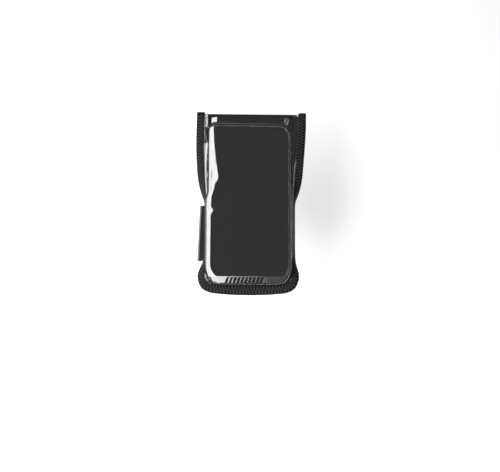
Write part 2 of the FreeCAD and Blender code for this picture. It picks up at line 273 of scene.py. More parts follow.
class Recipe:
    """Builds one node material around a Principled shader."""

    def __init__(self, name, roughness, colour=(0.03, 0.03, 0.03)):
        self.material = bpy.data.materials.new(name)
        self.material.use_nodes = True
        self.tree = self.material.node_tree
        self.shader = self.tree.nodes["Principled BSDF"]
        self.set("Roughness", roughness)
        self.set("Base Color", (*colour, 1.0))
        self.place = self.tree.nodes.new("ShaderNodeTexCoord").outputs["Object"]

    def set(self, socket, value):
        self.shader.inputs[socket].default_value = value

    def node(self, kind, **settings):
        made = self.tree.nodes.new(kind)
        for key, value in settings.items():
            if key in made.inputs:
                made.inputs[key].default_value = value
            else:
                setattr(made, key, value)
        return made

    def link(self, source, target):
        self.tree.links.new(source, target)

    def stretched(self, scale, turn=(0.0, 0.0, 0.0)):
        mapping = self.node("ShaderNodeMapping")
        mapping.inputs["Scale"].default_value = scale
        mapping.inputs["Rotation"].default_value = turn
        self.link(self.place, mapping.inputs["Vector"])
        return mapping.outputs["Vector"]

    def noise(self, scale, detail=3.0, vector=None):
        made = self.node("ShaderNodeTexNoise", Scale=scale, Detail=detail)
        self.link(vector or self.place, made.inputs["Vector"])
        return made.outputs["Fac"]

    def ribs(self, pitch, axis, distortion=0.0):
        """Soft stripes that repeat at pitch metres. The wave's own period is pi / 10 at scale 1."""
        scale = math.pi / 10.0 / pitch
        if axis == "DIAGONAL":
            scale *= 2.0
        made = self.node("ShaderNodeTexWave", Scale=scale, Distortion=distortion)
        made.bands_direction = axis
        self.link(self.place, made.inputs["Vector"])
        return made.outputs["Fac"]

    def cells(self, scale):
        made = self.node("ShaderNodeTexVoronoi", Scale=scale)
        self.link(self.place, made.inputs["Vector"])
        return made.outputs["Distance"]

    def sums(self, operation, a, b):
        made = self.node("ShaderNodeMath", operation=operation)
        for socket, value in zip(made.inputs, (a, b)):
            if isinstance(value, float):
                socket.default_value = value
            else:
                self.link(value, socket)
        return made.outputs[0]

    def colours(self, factor, stops):
        ramp = self.node("ShaderNodeValToRGB")
        while len(ramp.color_ramp.elements) < len(stops):
            ramp.color_ramp.elements.new(0.5)
        for element, (at, colour) in zip(ramp.color_ramp.elements, stops):
            element.position = at
            element.color = (*colour, 1.0)
        self.link(factor, ramp.inputs["Fac"])
        self.link(ramp.outputs["Color"], self.shader.inputs["Base Color"])

    def rough_between(self, factor, low, high):
        span = self.node("ShaderNodeMapRange")
        span.inputs["To Min"].default_value = low
        span.inputs["To Max"].default_value = high
        self.link(factor, span.inputs["Value"])
        self.link(span.outputs["Result"], self.shader.inputs["Roughness"])

    def bump(self, height, depth, strength=1.0):
        made = self.node("ShaderNodeBump", Strength=strength, Distance=depth)
        self.link(height, made.inputs["Height"])
        self.link(made.outputs["Normal"], self.shader.inputs["Normal"])

    def gloss(self, level):
        self.set("Specular IOR Level", level)

    def sheen(self, weight, roughness=0.5):
        self.set("Sheen Weight", weight)
        self.set("Sheen Roughness", roughness)

    def blended(self, a, share_a, b, share_b):
        """Two patterns added together in the given shares."""
        return self.sums("ADD", self.sums("MULTIPLY", a, share_a), self.sums("MULTIPLY", b, share_b))


def woven(name, dark, light, pitch, sheen=0.1, roughness=0.85):
    """Cloth woven at the given thread pitch in metres."""
    r = Recipe(name, roughness)
    r.gloss(0.13)
    warp, weft, wall = (r.ribs(pitch, axis) for axis in "XYZ")
    height = r.sums("ADD", r.sums("MULTIPLY", warp, weft), r.sums("MULTIPLY", wall, 0.5))
    wear = r.noise(90.0, 4.0)
    r.colours(r.blended(height, 0.35, wear, 0.6), [(0.2, dark), (0.75, light)])
    r.bump(height, pitch * 0.35, 0.7)
    r.sheen(sheen)
    return r.material


def knitted(name, dark, light, pitch, sheen, shine, depth):
    """Fine jersey: small rounded loops in staggered rows."""
    r = Recipe(name, 0.9)
    r.gloss(shine)
    loops = r.cells(1.0 / pitch)
    grain = r.noise(1.0 / pitch * 2.5, 2.0)
    broad = r.noise(45.0, 3.0)
    height = r.sums("SUBTRACT", grain, loops)
    r.colours(r.blended(grain, 0.06, broad, 0.94), [(0.25, dark), (0.75, light)])
    r.bump(height, pitch * depth, 0.6)
    r.sheen(sheen)
    return r.material


def clear_film(name, colour, alpha):
    """Soft clear sheet with a slow ripple and faint haze. Its gloss is stronger than plain
    plastic's, because alpha takes most of it away."""
    r = Recipe(name, 0.08, colour)
    r.set("Alpha", alpha)
    r.set("IOR", 3.4)
    ripple = r.noise(38.0, 2.0)
    haze = r.noise(40.0, 1.0, r.stretched((1.0, 0.4, 1.0), (0.0, 0.0, 0.5)))
    r.rough_between(haze, 0.08, 0.12)
    r.bump(ripple, 0.0006, 0.3)
    return r.material


def pile(name, dark, light, sheen):
    """Brushed loops of a landing strip."""
    r = Recipe(name, 0.95)
    fuzz = r.noise(2600.0, 4.0)
    clumps = r.cells(1100.0)
    r.colours(r.blended(fuzz, 0.7, clumps, 0.4), [(0.3, dark), (0.8, light)])
    r.gloss(0.15)
    r.bump(r.sums("SUBTRACT", fuzz, clumps), 0.0005, 0.9)
    r.sheen(sheen, 0.6)
    return r.material


def moulded(name, dark, light, roughness, grain_scale, shine=0.3):
    """Plain moulded rubber or plastic with a fine grain and dusty wear."""
    r = Recipe(name, roughness)
    r.gloss(shine)
    grain = r.noise(grain_scale, 4.0)
    dust = r.noise(60.0, 5.0)
    r.colours(dust, [(0.35, dark), (0.7, light)])
    r.rough_between(grain, roughness - 0.1, roughness + 0.12)
    r.bump(grain, 0.00012, 0.5)
    return r.material


def spun(name, dark, light, pitch):
    """Twisted sewing thread with a slight shine."""
    r = Recipe(name, 0.55)
    r.gloss(0.22)
    twist = r.ribs(pitch, "DIAGONAL", distortion=0.5)
    r.colours(twist, [(0.2, dark), (0.8, light)])
    r.bump(twist, pitch * 0.25, 0.6)
    r.sheen(0.05)
    return r.material


def shades(dark, light, blue=1.1):
    """A dark and a light grey, each slightly cool."""
    return (dark, dark, dark * blue), (light, light, light * blue)


TAPE_LOOK = woven("edge_tape_weave", *shades(0.0015, 0.005), 0.0006, sheen=0.02)
HEM_LOOK = woven("hem_weave", *shades(0.003, 0.009), 0.0005, sheen=0.03)
# Painted highlight: the mouth hem is a lighter grey than the other hems, standing in for light catching
# its edge.
MOUTH_HEM_HIGHLIGHT_LOOK = woven("mouth_hem_painted_highlight", *shades(0.02, 0.06, 1.05), 0.0005)
THREAD_LOOK = spun("edge_thread", *shades(0.011, 0.038), 0.0004)
STITCH_LOOK = spun("plain_thread", *shades(0.012, 0.035), 0.0004)
SHELL_LOOK = knitted("shell_jersey", *shades(0.006, 0.016), 0.0007, sheen=0.06, shine=0.12, depth=0.3)
LINING_LOOK = knitted("lining_knit", *shades(0.002, 0.0045, 1.3), 0.0005, sheen=0.0, shine=0.1, depth=0.1)
FILM_LOOK = clear_film("window_clear", (0.010, 0.0105, 0.012), alpha=0.4)
PRINT_LOOK = moulded("window_print", *shades(0.003, 0.005, 1.0), 0.6, 1500.0, shine=0.1)
WEBBING_LOOK = woven("strap_weave", *shades(0.004, 0.016), 0.0008, sheen=0.05)
# Painted highlight: the strap tip is pale grey, standing in for light catching the free end's edge.
TIP_HIGHLIGHT_LOOK = woven("strap_tip_painted_highlight", *shades(0.10, 0.2, 1.05), 0.0008, sheen=0.0, roughness=0.5)
LOOP_LOOK = pile("landing_pile", *shades(0.003, 0.012), sheen=0.12)
HOOK_LOOK = moulded("hook_nylon", *shades(0.005, 0.010), 0.5, 1800.0, shine=0.15)
RUBBER_LOOK = moulded("pad_rubber", *shades(0.010, 0.022), 0.7, 1400.0)
BOARD_LOOK = moulded("board_sheet", *shades(0.03, 0.045, 1.0), 0.5, 700.0)


# ---------------------------------------------------------------- the pouch's edge

class Station:
    """A place on the pouch's edge: the tape's inner edge and the directions across it."""

    def __init__(self, inner, fold, foot, width):
        self.inner = Vector(inner)
        self.width = width
        self.fold = math.radians(fold)
        self.foot = Vector(foot)

    def aim(self, ahead):
        """ahead is the plan direction along the edge, going right to left round the foot."""
        c, s = math.cos(self.fold), math.sin(self.fold)
        self.away = Vector((-ahead.y, ahead.x, 0.0)).normalized()
        self.outward = self.away * c + Vector((0, 0, -s))
        self.normal = self.away * s + Vector((0, 0, c))

    def at(self, out, up):
        return self.inner + self.outward * out + self.normal * up


def edge_stations():
    """Stations from the right side of the mouth round the foot to the left side."""
    right = spline(EDGE, STEPS_PER_ROW)
    stations = []
    for hand, rows in ((1, right), (-1, right[-2::-1])):
        for x, y, z, fold, foot_x, foot_y in rows:
            near_mouth = smooth(y, 62.0, 113.0)
            lean = MOUTH_LEAN * near_mouth + FOOT_LEAN * smooth(y, -22.0, -48.0)
            spread = MOUTH_SPREAD * near_mouth
            extra = 0.0
            if hand < 0:
                foot_x += LEFT_MARGIN_SHIFT * (smooth(y, -50.0, -40.0) - 1.1 * smooth(y, 60.0, 100.0))
                extra = LEFT_TAPE_EXTRA * smooth(y, 45.0, 80.0)
            width = TAPE_WIDE + extra + TAPE_FOOT_EXTRA * smooth(y, -46.0, -51.0)
            stations.append(Station(((x + spread - extra) * hand + lean, y, z), max(fold, 0.0),
                                    (foot_x * hand + lean, foot_y, FLANGE_TOP), width))
    last = len(stations) - 1
    for i, station in enumerate(stations):
        ahead = stations[min(i + 1, last)].inner - stations[max(i - 1, 0)].inner
        station.aim(ahead)
    return stations


STATIONS = edge_stations()
SIDE_COUNT = CORNER_ROW * STEPS_PER_ROW + 1
ALL_COUNT = len(STATIONS)
LEFT_START = ALL_COUNT - SIDE_COUNT


# ---------------------------------------------------------------- the window's form

# The x of the top's left side, and of the crease to the right of it, by y.
LEFT_CHAMFER = [(-60.0, -38.4), (27.0, -38.4), (37.0, -36.6), (120.0, -36.4)]
LEFT_RIDGE = [(-60.0, -38.1), (12.5, -38.0), (17.0, -34.6), (21.0, -37.4), (30.0, -36.9),
              (39.0, -34.2), (49.0, -30.2), (56.0, -31.4), (67.0, -33.0), (85.0, -34.6),
              (94.0, -35.4), (98.0, -36.2), (120.0, -35.0)]
RIGHT_RIDGE = 36.4
WINDOW_BACK, WINDOW_FRONT = -42.3, 98.5
CORNER_RADIUS = 9.0
LEFT_FRONT_RADIUS = 3.5
FOOT_SLOPE, FRONT_SLOPE = 10.7, 5.4
END_CURVE = 1.7
RIDGE_RISE, RIDGE_DIP = 0.22, -0.08
MARGIN_BELLY = 2.3

Side = namedtuple("Side", "shelf shelf_drop knee wall")
LEFT_SIDE = Side(shelf=3.2, shelf_drop=2.6, knee=1.5, wall=0.9)
RIGHT_SIDE = Side(shelf=2.2, shelf_drop=2.2, knee=0.5, wall=1.4)


def rounded(a, radius):
    """max(a, 0) with a round knee."""
    if a <= -radius:
        return 0.0
    if a >= radius:
        return a
    return (a + radius) ** 2 / (4.0 * radius)


def side_fall(far, side):
    """Drop at a distance out from the top's side: a sloping shelf, then a steep wall."""
    steep = (WINDOW_TOP - FLANGE_TOP - side.shelf_drop) / side.wall
    shallow = side.shelf_drop / side.shelf
    fall = rounded(far, side.knee) * side.shelf_drop / side.shelf
    return fall + rounded(far - side.shelf, 0.4) * (steep - shallow)


def end_fall(share):
    """Drop along the slope at either end, for the share of the slope that is passed."""
    curve = (1.0 - share ** END_CURVE) ** (1.0 / END_CURVE)
    return (WINDOW_TOP - FLANGE_TOP) * (1.0 - curve)


def crease_rise(x, y, left, far):
    """Height of the crease along the top's left side."""
    ridge = along_table(LEFT_RIDGE, y)
    spread = max(ridge - left, 0.0)
    if spread <= 0.2 or far >= 0.4:
        return 0.0
    rise = mix(RIDGE_DIP, RIDGE_RISE, clamp((x - left) / spread)) * spread
    if x > ridge:
        rise = RIDGE_RISE * spread * (1.0 - smooth(x, ridge, ridge + 5.0 + 1.1 * spread))
    inside = smooth(y, WINDOW_BACK + 3, WINDOW_BACK + 12)
    inside *= smooth(y, WINDOW_FRONT - 1, WINDOW_FRONT - 6)
    return rise * inside * smooth(far, 0.4, -0.2)


def window_height(x, y):
    """Height of the clear sheet over the pocket, in millimetres."""
    left = along_table(LEFT_CHAMFER, y)
    middle = (left + RIGHT_RIDGE) / 2.0
    half = (RIGHT_RIDGE - left) / 2.0
    centre_y = (WINDOW_BACK + WINDOW_FRONT) / 2.0
    half_y = (WINDOW_FRONT - WINDOW_BACK) / 2.0
    beyond_x = abs(x - middle) - half
    beyond_y = abs(y - centre_y) - half_y

    # far is the distance out from the top's rounded outline, and share_y says how much of
    # that is towards an end and not a side.
    radius = LEFT_FRONT_RADIUS if x < middle and y > centre_y else CORNER_RADIUS
    qx = max(beyond_x + radius, 0.0)
    qy = max(beyond_y + radius, 0.0)
    far = math.hypot(qx, qy) + min(max(beyond_x, beyond_y) + radius, 0.0) - radius
    share_y = (qy / math.hypot(qx, qy)) ** 2 if qx + qy > 0 else 0.0

    side = LEFT_SIDE if x < middle else RIGHT_SIDE
    slope = FRONT_SLOPE if y > centre_y else FOOT_SLOPE
    reach = mix(side.shelf + side.wall, slope, share_y)
    side_far = far * (side.shelf + side.wall) / reach
    fall = mix(side_fall(side_far, side), end_fall(clamp(far / reach)), share_y)
    ripple = wander(x * 1.4, y * 0.9, 3.0) * 0.10 + wander(x * 3.1, y * 2.0, 7.0) * 0.04
    height = WINDOW_TOP - fall + crease_rise(x, y, left, far) + ripple * smooth(far, 0.0, -3.0)
    return max(height, FLANGE_TOP)


def margin_lift(x, y):
    """The left margin of the sheet bellies up towards the mouth."""
    return MARGIN_BELLY * smooth(y, 52.0, 96.0) if x < 0 else 0.0


def columns_at(row, count):
    """Plan positions across the pocket at one row of the side stations."""
    right = STATIONS[row].foot
    left = STATIONS[ALL_COUNT - 1 - row].foot
    foot_row = [STATIONS[k].foot for k in range(SIDE_COUNT - 1, LEFT_START + 1)]
    start, end = foot_row[0], foot_row[-1]
    places = []
    for k in range(count):
        share = (foot_row[k].x - start.x) / (end.x - start.x)
        x = mix(right.x, left.x, share)
        sag = foot_row[k].y - start.y
        weight = smooth(row, SIDE_COUNT - SAG_ROWS, SIDE_COUNT - 1)
        places.append((x, right.y + sag * weight))
    return places


# The rows bend with the foot over the last SAG_ROWS. The left margin's belly begins at
# BELLY_START from the middle, and is full at BELLY_FULL.
SAG_ROWS = 22
COLUMN_COUNT = LEFT_START - SIDE_COUNT + 2
MARGIN_STEPS = 6
MARGIN_TUCK = 2.0
BELLY_START, BELLY_FULL = 39.3, 40.5


class Layer:
    """One layer of the pouch, with the same layout of points for each."""

    def __init__(self, first_row):
        self.first_row = first_row
        self.rows = SIDE_COUNT - first_row
        self.plan = [columns_at(row, COLUMN_COUNT) for row in range(first_row, SIDE_COUNT)]
        self.edge = list(range(first_row, ALL_COUNT - first_row))

    def inner_index(self, station):
        """The grid point that a station's margin starts from."""
        if station < SIDE_COUNT:
            return (station - self.first_row) * COLUMN_COUNT
        if station < LEFT_START:
            return (self.rows - 1) * COLUMN_COUNT + station - SIDE_COUNT + 1
        return (ALL_COUNT - 1 - station - self.first_row) * COLUMN_COUNT + COLUMN_COUNT - 1

    def inward_index(self, station):
        """The grid point next to inner_index, further in."""
        index = self.inner_index(station)
        if station < SIDE_COUNT:
            return index + 1
        if station < LEFT_START:
            return index - COLUMN_COUNT
        return index - 1

    def faces(self, keep=None):
        """keep(row, column) says whether a square of the middle is there."""
        faces = []
        for i in range(self.rows - 1):
            for j in range(COLUMN_COUNT - 1):
                if keep is None or keep(i, j):
                    a = i * COLUMN_COUNT + j
                    faces.append((a, a + 1, a + COLUMN_COUNT + 1, a + COLUMN_COUNT))
        start = self.rows * COLUMN_COUNT
        for k, station in enumerate(self.edge[:-1]):
            here = [self.inner_index(station)]
            here += [start + k * MARGIN_STEPS + m for m in range(MARGIN_STEPS)]
            beyond = [self.inner_index(station + 1)]
            beyond += [start + (k + 1) * MARGIN_STEPS + m for m in range(MARGIN_STEPS)]
            for m in range(MARGIN_STEPS):
                faces.append((here[m], beyond[m], beyond[m + 1], here[m + 1]))
        return faces

    def points(self, height, rim_up, lift=None):
        """Points of a surface: height(x, y) gives the middle's, rim_up is their height inside
        the tape's fold, and lift(x, y) raises the margin."""
        middle = [(x, y, height(x, y)) for row in self.plan for x, y in row]
        if lift:
            middle = [(x, y, z + lift(x, y) * smooth(abs(x), BELLY_START, BELLY_FULL))
                      for x, y, z in middle]
        margin = []
        for station_index in self.edge:
            station = STATIONS[station_index]
            index = self.inner_index(station_index)
            begin = Vector(middle[index])
            depth = max(FLANGE_TOP - begin.z, 0.0) * math.sin(station.fold)
            begin = begin - station.away * depth
            middle[index] = tuple(begin)
            end = station.at(MARGIN_TUCK, rim_up)
            reach = (end - begin).length / 3.0
            inward = Vector(middle[self.inward_index(station_index)])
            leave = begin + (begin - inward).normalized() * reach
            belly = 0.0
            if lift and begin.x < 0:
                belly = lift(begin.x, begin.y) / MARGIN_BELLY
            arrive = end - station.outward * reach * mix(1.0, 0.8, belly)
            for m in range(1, MARGIN_STEPS + 1):
                t = m / MARGIN_STEPS
                u = 1.0 - t
                margin.append(tuple(begin * u ** 3 + leave * 3 * u * u * t
                                    + arrive * 3 * u * t * t + end * t ** 3))
        return middle + margin


def closed_between(name, top, low, faces):
    """A closed body between two surfaces with the same layout."""
    used = sorted({k for face in faces for k in face})
    order = {old: new for new, old in enumerate(used)}
    faces = [tuple(order[k] for k in face) for face in faces]
    half = len(used)
    points = [top[k] for k in used] + [low[k] for k in used]
    sides = {}
    for face in faces:
        for a, b in zip(face, face[1:] + face[:1]):
            sides[(a, b)] = (b, a)
    walls = [(b, a, a + half, b + half) for (a, b), back in sides.items() if back not in sides]
    lower = [tuple(k + half for k in reversed(face)) for face in faces]
    return make_object(name, points, list(faces) + lower + walls)


def first_row_at(y):
    return next(i for i in range(SIDE_COUNT) if STATIONS[i].inner.y <= y)


MOUTH_ROW = first_row_at(MOUTH_Y)
SPLIT_ROW = first_row_at(LIP_SPLIT_Y + 0.1) - MOUTH_ROW
SLIT_LEFT, SLIT_RIGHT = -38.9, 40.6
pouch_layer = Layer(MOUTH_ROW)
slit_columns = [j for j, (x, y) in enumerate(pouch_layer.plan[0]) if SLIT_LEFT <= x <= SLIT_RIGHT]
SLIT_FIRST, SLIT_LAST = slit_columns[0], slit_columns[-1]


def sheet_height(x, y):
    """The window sheet's upper face, with the lip resting on its closing strips."""
    strips = 1.7 * smooth(abs(x), 38.0, 31.5) * smooth(y, 100.0, 103.6)
    return max(window_height(x, y), FLANGE_TOP + strips)


def build_window():
    """The window sheet, all but its lip."""
    def keep(i, j):
        return i >= SPLIT_ROW or not SLIT_FIRST <= j < SLIT_LAST

    top = pouch_layer.points(sheet_height, 1.0, margin_lift)
    low = [(x, y, z - FILM_THICK) for x, y, z in top]
    film = closed_between("window_sheet", top, low, pouch_layer.faces(keep))
    finish_piece(film, "pouch", FILM_LOOK, "clear_film", "window_film")


def build_lip():
    """The free end of the window sheet at the mouth, cut free at both sides."""
    columns = SLIT_LAST - SLIT_FIRST

    def point(i, j):
        x, y = pouch_layer.plan[i][SLIT_FIRST + j]
        open_cut = 0.25 * smooth(y, LIP_SPLIT_Y, LIP_SPLIT_Y + 4.0)
        if j == 0:
            x -= open_cut
        if j == columns:
            x += open_cut
        return (x, y, sheet_height(x, y))

    top = grid(SPLIT_ROW, columns, point)
    low = [[(x, y, z - FILM_THICK) for x, y, z in row] for row in top]
    lip = slab("window_lip_sheet", top, low)
    across = ("pouch", "mouth_lip", (0, 99.6, 30), (0, 103.4, 30))
    finish_bridge(lip, FILM_LOOK, "clear_film", ["window_lip"], *across)
    for side, column, hand in (("left", 0, 1), ("right", -1, -1)):
        line = [row[column] for row in reversed(top)]
        path = [(x + LIP_EDGE_RADIUS * hand, y, z - 0.1) for x, y, z in line]
        edge = lofted(f"window_lip_edge_{side}", tube_rings(path, LIP_EDGE_RADIUS, 10))
        finish_bridge(edge, HEM_LOOK, "hem_tape", [], *across)


def build_shell():
    """Foam-rubber shell and padded lining."""
    def over_board(x, y):
        return smooth(abs(x), 38.6, 37.6) * smooth(y, -47.8, -46.8) * smooth(y, 105.8, 104.8)

    def shell_top(x, y):
        return SHELL_TOP - 0.5 * over_board(x, y)

    def shell_low(x, y):
        return SHELL_LOW + 0.18 * wander(x * 1.5, y, 5.0)

    def lining_top(x, y):
        return LINING_TOP + 0.08 * wander(x * 2.4, y * 2.0, 11.0)

    def lining_low(x, y):
        return LINING_LOW + 0.45 * over_board(x, y)

    faces = pouch_layer.faces()
    shell = closed_between("shell", pouch_layer.points(shell_top, 0.25),
                           pouch_layer.points(shell_low, -1.05), faces)
    finish_piece(shell, "pouch", SHELL_LOOK, "foam_shell", "back_panel")
    lining = closed_between("lining", pouch_layer.points(lining_top, 0.65),
                            pouch_layer.points(lining_low, 0.3), faces)
    finish_piece(lining, "pouch", LINING_LOOK, "lining", "pocket_lining")


# ---------------------------------------------------------------- edge tape and its stitching

# (out, up) round the folded tape's section: over it, back under it, and along the inside.
TAPE_SECTION = [
    (0.0, 1.5), (0.6, 1.8), (2.2, 1.95), (4.2, 1.9), (5.8, 1.6), (6.7, 1.0), (7.0, 0.0),
    (6.7, -1.0), (5.8, -1.6), (4.2, -1.9), (2.2, -1.95), (0.6, -1.8), (0.0, -1.5),
    (0.0, -1.15), (3.0, -1.35), (5.9, -0.9), (6.5, 0.0), (5.9, 0.9), (3.0, 1.35), (0.0, 1.15),
]


def tape_top(out):
    """Height of the tape's upper face at a distance from its inner edge."""
    upper = TAPE_SECTION[:7]
    for (out0, up0), (out1, up1) in zip(upper, upper[1:]):
        if out <= out1:
            return mix(up0, up1, clamp((out - out0) / (out1 - out0)))
    return 0.0


EDGE_LENGTH = [0.0]
for before, after in zip(STATIONS, STATIONS[1:]):
    EDGE_LENGTH.append(EDGE_LENGTH[-1] + (after.at(3.5, 0) - before.at(3.5, 0)).length)


def edge_point(length, out, up):
    """A point a given length along the tape, out from its inner edge and up from its middle."""
    length = clamp(length, 0.0, EDGE_LENGTH[-1] - 1e-6)
    high = bisect_right(EDGE_LENGTH, length)
    low = high - 1
    t = (length - EDGE_LENGTH[low]) / (EDGE_LENGTH[high] - EDGE_LENGTH[low])
    a, b = STATIONS[low], STATIONS[high]
    near = a.at(out * a.width / TAPE_WIDE, up)
    far = b.at(out * b.width / TAPE_WIDE, up)
    return near.lerp(far, t)


def build_tape():
    """The folded tape, drawn in a little at each stitch."""
    rings = []
    count = int(EDGE_LENGTH[-1] / 0.75)
    for k in range(count + 1):
        length = EDGE_LENGTH[-1] * k / count
        pull = math.cos(2.0 * math.pi * length / STITCH_PITCH)
        slack = wander(length * 1.3, 20.0, 2.0)
        ring = []
        for out, up in TAPE_SECTION:
            swell = 1.0 + (0.035 * pull + 0.03 * slack) * smooth(abs(up), 0.9, 1.4)
            reach = 1.0 + 0.012 * pull + 0.012 * slack
            ring.append(edge_point(length, out * reach, up * swell))
        rings.append(ring)
    tape = lofted("edge_tape", rings)
    finish_piece(tape, "pouch", TAPE_LOOK, "edge_tape", "edge_binding")


def edge_thread(stops, steps=3):
    """A thread over the tape through (length, out, up) stops."""
    return [edge_point(*stop) for stop in spline(stops, steps)]


def build_tape_stitches():
    """A zigzag over the tape, whose outer points wrap under it, and a chain along its inner edge."""
    half = STITCH_PITCH / 2.0
    sunk = THREAD_RADIUS * 0.45
    inner, outer = 0.55, 5.4
    middle = (inner + outer) / 2.0
    inner_up = tape_top(1.0) + sunk
    middle_up = tape_top(middle) + sunk + 0.05
    outer_up = tape_top(outer) + sunk + 0.1
    lines = []
    chain = []
    for k in range(int((EDGE_LENGTH[-1] - 2.0) / STITCH_PITCH)):
        at = 1.0 + k * STITCH_PITCH
        top = at + half
        end = at + STITCH_PITCH
        lines.append(edge_thread([
            (at, inner, 1.5), (at + 0.25, inner + 0.5, inner_up), (at + half / 2, middle, middle_up),
            (top - 0.2, outer - 0.4, outer_up), (top, outer, 1.4)]))
        lines.append(edge_thread([
            (top, outer, 1.4), (top + 0.2, outer - 0.4, outer_up),
            (at + half * 1.5, middle, middle_up), (end - 0.25, inner + 0.5, inner_up),
            (end, inner, 1.5)]))
        lines.append(edge_thread([
            (top, outer, 1.5), (top + 0.3, 6.5, 1.35), (top + 0.5, 7.15, 0.0),
            (top + 0.3, 6.5, -1.35), (top, outer, -1.8), (top - 0.5, 3.4, -2.0)]))
        place = edge_point(at, 0.0, 0.0)
        up = 1.6 + 1.2 * margin_lift(place.x, place.y) / MARGIN_BELLY
        chain.append(edge_thread([
            (at, 0.45, 1.85), (at + 0.6, -0.5, up), (top, -0.95, up),
            (end - 0.6, -0.5, up), (end, 0.45, 1.85)]))
    over = threads("tape_overstitch", lines, THREAD_RADIUS)
    finish_piece(over, "pouch", THREAD_LOOK, "edge_tape")
    along = threads("tape_chain_stitch", chain, THREAD_RADIUS * 1.2)
    finish_piece(along, "pouch", THREAD_LOOK, "edge_tape")


# ---------------------------------------------------------------- hems and closing strips

HEM_PITCH = 2.8
HEM_STEPS = 120


def round_section(deep, tall, knee=0.45):
    """A flattened round outline for a folded hem."""
    points = []
    for k in range(20):
        a = 2.0 * math.pi * k / 20
        c, s = math.cos(a), math.sin(a)
        points.append((math.copysign(abs(c) ** knee, c) * deep / 2.0,
                       math.copysign(abs(s) ** knee, s) * tall / 2.0))
    return points


def bound_hem(name, start, end, y, z, section, seeds):
    """A hem in +X that swells between its stitches. seeds pick its own unevenness."""
    swell_seed, drift_row, drift_seed = seeds
    rings = []
    for k in range(HEM_STEPS + 1):
        x = mix(start, end, k / HEM_STEPS)
        size = 1.0 + 0.02 * math.cos(2 * math.pi * x / HEM_PITCH) + 0.03 * wander(x * 2, 0, swell_seed)
        middle = y + 0.12 * wander(x, drift_row, drift_seed)
        rings.append([(x, middle + dy * size, z + dz * size) for dy, dz in section])
    return lofted(name, rings)


def dashes(point_at, first, last, pitch, long, lift=0.2):
    """Running stitches: short threads that dip in and out along point_at(distance, height)."""
    stops = [(0.0, -0.5), (0.15, 0.7), (0.5, 1.0), (0.85, 0.7), (1.0, -0.5)]
    starts = [first + k * pitch for k in range(int((last - first) / pitch))]
    return [[point_at(start + long * t, h * lift) for t, h in stops] for start in starts]


def sew(name, lines, radius, body, slot):
    """Sewing thread along the lines, as one piece."""
    finish_piece(threads(name, lines, radius), body, STITCH_LOOK, slot)


def build_mouth_hem():
    """The bound front edge of the back layers, painted a lighter grey as a highlight along its edge."""
    hem = bound_hem("mouth_hem_binding", -45.0, 45.0, 111.3, 22.35, round_section(2.4, 3.9),
                    (9.0, 30.0, 4.0))
    finish_piece(hem, "pouch", MOUTH_HEM_HIGHLIGHT_LOOK, "hem_tape", "mouth_hem")
    upper = dashes(lambda d, h: (d, 110.7, 24.28 + h), -44.0, 44.0, HEM_PITCH, 1.9)
    lower = dashes(lambda d, h: (d, 110.7, 20.42 - h), -44.0, 44.0, HEM_PITCH, 1.9)
    sew("mouth_hem_stitches", upper + lower, 0.22, "pouch", "hem_tape")


def build_window_hem():
    """The bound front edge of the window's lip."""
    hem = bound_hem("window_hem_binding", -38.4, 40.2, 110.1, 26.12, round_section(2.4, 1.35, 0.6),
                    (3.0, 60.0, 2.0))
    finish_piece(hem, "mouth_lip", HEM_LOOK, "hem_tape", "window_hem")
    lines = dashes(lambda d, h: (d, 109.6, 26.76 + h), -37.6, 39.4, HEM_PITCH, 1.9)
    sew("window_hem_stitches", lines, 0.22, "mouth_lip", "hem_tape")


class Patch:
    """A flat place for a closing strip: where it starts, and its directions."""

    def __init__(self, origin, along, across, normal):
        self.origin = Vector(origin)
        self.along = Vector(along)
        self.across = Vector(across)
        self.normal = Vector(normal)

    def at(self, a, b, h):
        return self.origin + self.along * a + self.across * b + self.normal * h


def scatter(k, seed):
    """A repeatable number from 0 to 1."""
    return math.modf(abs(math.sin(k * 12.9898 + seed * 78.233)) * 43758.5453)[0]


def build_backing(name, place, long, wide, low, high, roughness):
    """The ground of a closing strip: a thin slab with soft corners and an uneven face."""
    rows, columns = max(int(long / 0.8), 8), max(int(wide / 0.8), 6)

    def upper(i, j):
        a, b = long * i / rows, wide * j / columns
        edge = min(a, long - a, b, wide - b)
        rounding = 0.25 * (high - low) * (1.0 - smooth(edge, 0.0, 0.7))
        bumps = roughness * (scatter(i * 131 + j, 1.0) - 0.7) * smooth(edge, 0.0, 0.5)
        return place.at(a, b, high - rounding + bumps)

    def under(i, j):
        return place.at(long * i / rows, wide * j / columns, low)

    return slab(name, grid(rows, columns, upper), grid(rows, columns, under))


def build_hook_strip(name, body, node, place, long, wide, low, high):
    """Moulded hooks in rows on a thin ground."""
    ground = build_backing(name, place, long, wide, low, mix(low, high, 0.45), 0.02)
    finish_piece(ground, body, HOOK_LOOK, "hook_tape", node)
    base = mix(low, high, 0.4)
    tall = high - base
    pitch_a, pitch_b = 1.25, 1.05
    lines = []
    for i in range(int((long - 1.2) / pitch_a) + 1):
        for j in range(int((wide - 1.0) / pitch_b) + 1):
            a, b = 0.6 + i * pitch_a, 0.5 + j * pitch_b
            lean = 0.3 if (i + j) % 2 else -0.3
            lines.append([
                place.at(a, b, base), place.at(a, b, base + 0.6 * tall),
                place.at(a + lean * 0.5, b, high - 0.1), place.at(a + lean, b, high - 0.14),
                place.at(a + lean * 1.3, b, base + 0.55 * tall)])
    finish_piece(threads(name + "_hooks", lines, 0.1, 4), body, HOOK_LOOK, "hook_tape")


